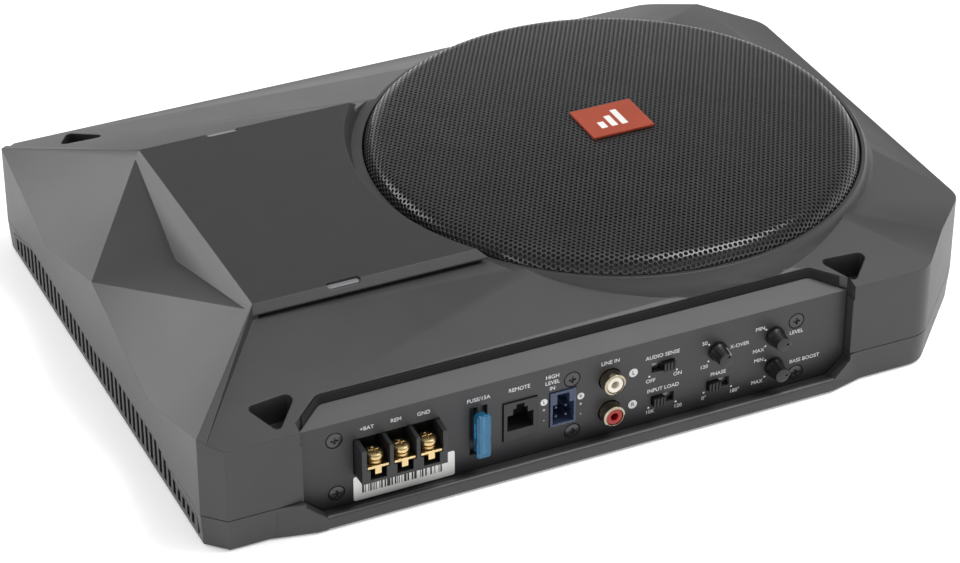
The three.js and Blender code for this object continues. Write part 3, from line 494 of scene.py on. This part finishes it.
# ---- Knobs: a fluted cap with a thin raised pointer ----
KNOBS = {"crossover": 55, "level": 0, "bass_boost": 0}
KNOB_FLUTES = 18
FLUTE_DEPTH = 0.035
FLANK_R = 2.9
FLANK_LOW = 2.2
FLANK_HIGH = 7.3
POINTER_HALF = 0.28


def knob_mesh(name, x, z, turn):
    profile = [(0, 7.75), (2.5, 7.75), (2.95, 7.6), (3.1, 7.2), (3.5, 2.8), (3.9, 1.9), (4.1, 1.2),
               (4.1, 0.5), (2, 0.5), (2, -7), (0, -7)]
    mesh = turned(name, profile, KNOB_FLUTES * 4, Matrix.Identity(4))
    for vertex in mesh.vertices:
        angle = math.atan2(vertex.co.y, vertex.co.x)
        radius = math.hypot(vertex.co.x, vertex.co.y)
        if FLANK_LOW * MM < vertex.co.z < FLANK_HIGH * MM and radius > FLANK_R * MM:
            shrink = 1 - FLUTE_DEPTH * (0.5 + 0.5 * math.cos(KNOB_FLUTES * angle))
            vertex.co.x *= shrink
            vertex.co.y *= shrink
    mesh.transform(on_panel(x, z) @ Matrix.Rotation(math.radians(turn), 4, "Z"))
    return mesh


def pointer_mesh(name, x, z, turn):
    """A thin raised line from the knob's face edge down its flank."""
    build = bmesh.new()
    path = [(1.2, 7.81), (2.6, 7.81), (3.12, 7.48), (3.5, 3.43)]
    rows = []
    for radius, height in path:
        across = (-POINTER_HALF, POINTER_HALF)
        rows.append([build.verts.new((radius * MM, half * MM, height * MM)) for half in across])
    for low, high in zip(rows, rows[1:]):
        build.faces.new([low[0], high[0], high[1], low[1]])
    bmesh.ops.solidify(build, geom=build.faces[:], thickness=0.08 * MM)
    build.transform(on_panel(x, z) @ Matrix.Rotation(math.radians(turn), 4, "Z"))
    mesh = bpy.data.meshes.new(name)
    build.to_mesh(mesh)
    build.free()
    return mesh


for knob, turn in KNOBS.items():
    low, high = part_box(f"{knob}_knob")
    x = (low[0] + high[0]) / 2 / MM
    z = (low[2] + high[2]) / 2 / MM
    body = f"{knob}_knob_body"
    cap = add_piece(f"{knob}_cap", knob_mesh(f"{knob}_cap", x, z, turn), "control_plastic", body,
                    replaces=[f"{knob}_knob"])
    smooth(cap)
    add_piece(f"{knob}_pointer", pointer_mesh(f"{knob}_pointer", x, z, turn), "legend_ink", body)


# ---- Fuse: a clear body over two blades and the link between them ----
FUSE_HEAD = 2.2
WAIST_INSET = 0.6
WAIST_SHORTER = 1
FUSE_ROUND = 0.7
BLADE_WIDE = 5.0
BLADE_INSET = 1.5
BLADE_HALF = 0.4
BRIDGE_HALF = 0.2
METAL_ROUND = 0.15


def rounded_boxes(name, boxes, round_by):
    """A mesh of boxes with rounded edges, each given by two millimetre corners."""
    build = bmesh.new()
    for low, high in boxes:
        made = bmesh.ops.create_cube(build, size=1.0)
        size = [(b - a) * MM for a, b in zip(low, high)]
        middle = [(a + b) / 2 * MM for a, b in zip(low, high)]
        bmesh.ops.scale(build, vec=size, verts=made["verts"])
        bmesh.ops.translate(build, vec=middle, verts=made["verts"])
    bmesh.ops.bevel(build, geom=build.edges[:], offset=round_by * MM, segments=3, affect="EDGES")
    mesh = bpy.data.meshes.new(name)
    build.to_mesh(mesh)
    build.free()
    return mesh


def fuse_pieces():
    """The clear body is a wide head with a narrower waist; the metal shows through it."""
    low, high = ([v / MM for v in corner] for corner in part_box("blade_fuse"))
    x = (low[0] + high[0]) / 2
    front = low[1]
    head = ((low[0], front, low[2]), (high[0], front + FUSE_HEAD, high[2]))
    waist = ((low[0] + WAIST_INSET, front + FUSE_HEAD - 0.4, low[2] + WAIST_SHORTER),
             (high[0] - WAIST_INSET, PANEL_Y - 0.3, high[2] - WAIST_SHORTER))
    shell_mesh = rounded_boxes("fuse_shell", [head, waist], FUSE_ROUND)
    smooth(add_piece("fuse_shell", shell_mesh, "fuse_plastic", "fuse_body", replaces=["blade_fuse"]))
    blades = [((x - BLADE_HALF, front + 1, z), (x + BLADE_HALF, high[1] - 0.2, z + BLADE_WIDE))
              for z in (low[2] + BLADE_INSET, high[2] - BLADE_INSET - BLADE_WIDE)]
    bridge = ((x - BRIDGE_HALF, front + 1.4, low[2] + BLADE_INSET + 2),
              (x + BRIDGE_HALF, front + 2.2, high[2] - BLADE_INSET - 2))
    metal_mesh = rounded_boxes("fuse_blades", [*blades, bridge], METAL_ROUND)
    add_piece("fuse_blades", metal_mesh, "fuse_metal", "fuse_body")


fuse_pieces()


# ---- Printed legends on the panel ----
INK_HEIGHT = 0.05
INK_LIFT = 0.06
INK_SPREAD = 0.015
LETTER_SIZE = 2.4
LETTER_PER_DISC = 1.35
DOT_R = 0.42
KNOB_DOT_REACH = 3.9


def legend(name, words, x, z, size=LETTER_SIZE, ink="legend_ink", lift=INK_LIFT):
    curve = bpy.data.curves.new(name, "FONT")
    curve.body = words
    curve.size = size * MM
    curve.align_x = "CENTER"
    curve.align_y = "CENTER"
    curve.extrude = INK_HEIGHT / 2 * MM
    curve.offset = INK_SPREAD * MM
    curve.resolution_u = 3
    text = bpy.data.objects.new(name, curve)
    bpy.context.scene.collection.objects.link(text)
    text.matrix_world = on_panel(x, z, PANEL_Y - lift)
    curve.materials.append(MATERIALS[ink])
    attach(text, ROOT)


def disc(name, x, z, radius, ink="legend_ink"):
    mesh = turned(name, [(0, 0.02), (radius, 0.02), (radius, 0.09), (0, 0.09)], 32, on_panel(x, z))
    add_piece(name, mesh, ink)


LEGENDS = [
    ("+BAT", -106.4, 36.6), ("REM", -94.5, 36.8), ("GND", -83.2, 36.6), ("FUSE/15A", -60.5, 36.2),
    ("REMOTE", -43.4, 36.2), ("HIGH", -29.4, 37.6), ("LEVEL", -29.4, 34.9), ("IN", -29.4, 32.2),
    ("LINE IN", -4.7, 37.2), ("AUDIO SENSE", 18, 34.2), ("OFF", 13, 23.4), ("ON", 24.8, 23.7),
    ("INPUT LOAD", 18.6, 18.6), ("10K", 13.1, 8.8), ("120", 25.4, 8.2), ("50", 36.4, 34.2),
    ("120", 36.4, 23.2), ("X-OVER", 52, 29.3), ("PHASE", 42.9, 18.6), ("0°", 36.9, 8.4),
    ("180°", 50.6, 8.2),
    ("MIN", 61, 34.2), ("MAX", 60.6, 24), ("LEVEL", 77.4, 28.4), ("MIN", 61, 19.4), ("MAX", 60.6, 9.2),
    ("BASS BOOST", 81.8, 14.6), ("+", -32.9, 23), ("-", -32.9, 18.4), ("+", -17.2, 21.4), ("-", -17.2, 17),
]
for i, (words, x, z) in enumerate(LEGENDS):
    legend(f"legend_{i + 1}", words, x, z)
CHANNEL_MARKS = [("line_left", "L", 5.4, 29.4, 1.9), ("line_right", "R", 5.4, 14.6, 1.9),
                 ("high_left", "L", -32.9, 26.7, 1.5), ("high_right", "R", -17.2, 25.1, 1.5)]
for name, letter, x, z, radius in CHANNEL_MARKS:
    disc(f"channel_disc_{name}", x, z, radius)
    legend(f"channel_letter_{name}", letter, x, z, radius * LETTER_PER_DISC, "legend_dark", 2 * INK_LIFT)
DOTS = [(12.4, 25.6), (24.4, 25.6), (12.4, 10.9), (24.4, 10.4), (36.8, 11), (49, 10.6)]
for knob in KNOBS:
    low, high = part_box(f"{knob}_knob")
    x, z = ((low[k] + high[k]) / 2 / MM for k in (0, 2))
    DOTS += [(x - KNOB_DOT_REACH, z + KNOB_DOT_REACH), (x - KNOB_DOT_REACH, z - KNOB_DOT_REACH)]
for i, (x, z) in enumerate(DOTS):
    disc(f"legend_dot_{i + 1}", x, z, DOT_R)


# ---- Studio: a white sweep under a sky that is bright at the horizon and dimmer higher up ----
SKY = [(0.0, 1.15), (0.25, 1.0), (0.42, 0.42), (0.66, 0.32), (0.82, 0.65), (1.0, 0.8)]
SKY_STRENGTH = 1.15
FLOOR_GLOW = 0.25
FLOOR_HALF = 6
LAMPS_AIM = (0, 0, 0.03)
LAMPS = [
    ("overhead", (0.6, -0.25, 1.4), 0.8, 16),
    ("back_left", (-1.3, 1.3, 0.8), 1.0, 15),
    ("left", (-1.9, -0.4, 0.5), 0.9, 5),
]


def studio():
    world = bpy.data.worlds.new("studio")
    bpy.context.scene.world = world
    world.use_nodes = True
    tree = world.node_tree
    place = tree.nodes.new("ShaderNodeTexCoord")
    split = tree.nodes.new("ShaderNodeSeparateXYZ")
    link(tree, place.outputs["Generated"], split.inputs["Vector"])
    sky = tree.nodes.new("ShaderNodeValToRGB")
    while len(sky.color_ramp.elements) < len(SKY):
        sky.color_ramp.elements.new(0.5)
    for element, (height, level) in zip(sky.color_ramp.elements, SKY):
        element.position = height
        element.color = (level, level, level, 1)
    link(tree, split.outputs["Z"], sky.inputs["Fac"])
    background = tree.nodes["Background"]
    link(tree, sky.outputs["Color"], background.inputs["Color"])
    background.inputs["Strength"].default_value = SKY_STRENGTH
    corners = [(x * FLOOR_HALF, y * FLOOR_HALF, 0) for x, y in ((-1, -1), (1, -1), (1, 1), (-1, 1))]
    floor_mesh = mesh_from("floor", corners, [(0, 1, 2, 3)])
    floor = bpy.data.objects.new("floor", floor_mesh)
    bpy.context.scene.collection.objects.link(floor)
    paper = surface("floor_paper", (0.93, 0.93, 0.93), 0.9, grain=200.0, bump=0.02, edge=0.0,
                    mottled=0.005)
    glow = paper.node_tree.nodes["Principled BSDF"].inputs
    glow["Emission Color"].default_value = (1, 1, 1, 1)
    glow["Emission Strength"].default_value = FLOOR_GLOW
    floor_mesh.materials.append(paper)
    for name, place, size, power in LAMPS:
        data = bpy.data.lights.new(name, "AREA")
        data.size = size
        data.energy = power
        lamp = bpy.data.objects.new(name, data)
        bpy.context.scene.collection.objects.link(lamp)
        lamp.location = place
        lamp.rotation_euler = (Vector(LAMPS_AIM) - Vector(place)).to_track_quat("-Z", "Y").to_euler()


studio()
